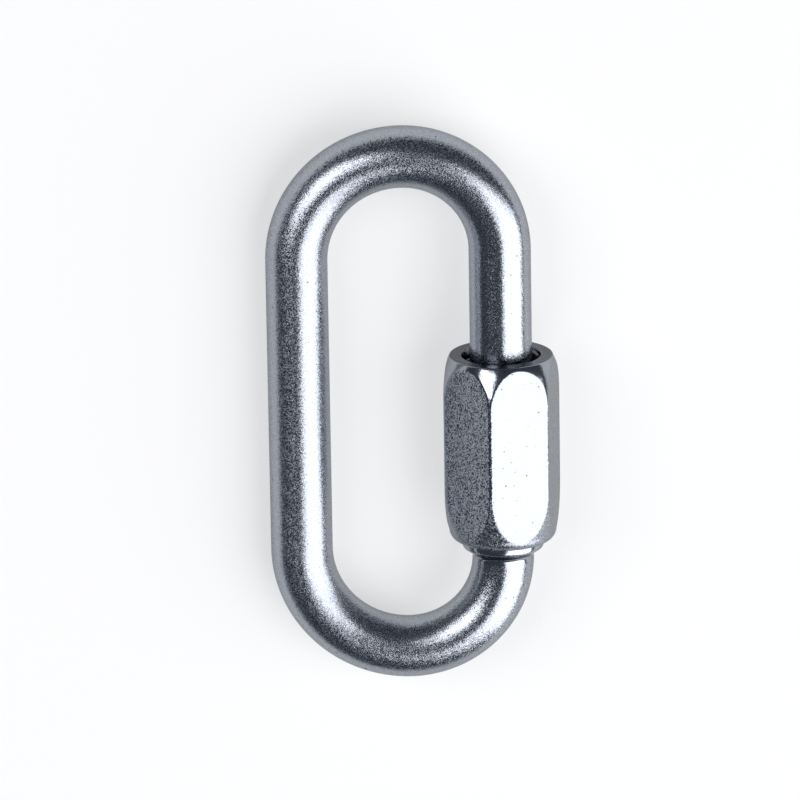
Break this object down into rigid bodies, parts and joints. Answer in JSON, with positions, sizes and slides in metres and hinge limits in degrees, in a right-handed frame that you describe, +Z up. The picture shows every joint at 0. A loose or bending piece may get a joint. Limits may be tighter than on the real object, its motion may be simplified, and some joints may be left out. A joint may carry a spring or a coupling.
{
  "type": "chain quick link",
  "caption": "Long oval link of bent round steel bar with a gate in one arm, closed by a hexagon sleeve nut that screws up the arm to let a chain in.",
  "frame": {"origin": "on the ground, under the middle of the link as it lies on its side", "axes": "+Y along the length of the loop, +X across it towards the arm with the nut, +Z up from the ground"},
  "size_m": [0.0376, 0.074, 0.015],
  "materials": {
    "bar_zinc": "bright zinc plate on drawn bar",
    "nut_zinc": "bright zinc plate on turned hexagon bar"
  },
  "bodies": {
    "link": {"link_body": "bar_zinc"},
    "nut": {"sleeve_nut": "nut_zinc"}
  },
  "joints": [
    {"name": "nut_travel", "type": "slide", "parent": "link", "child": "nut", "axis": [0, 1, 0], "range_m": [0, 0.015]}
  ]
}
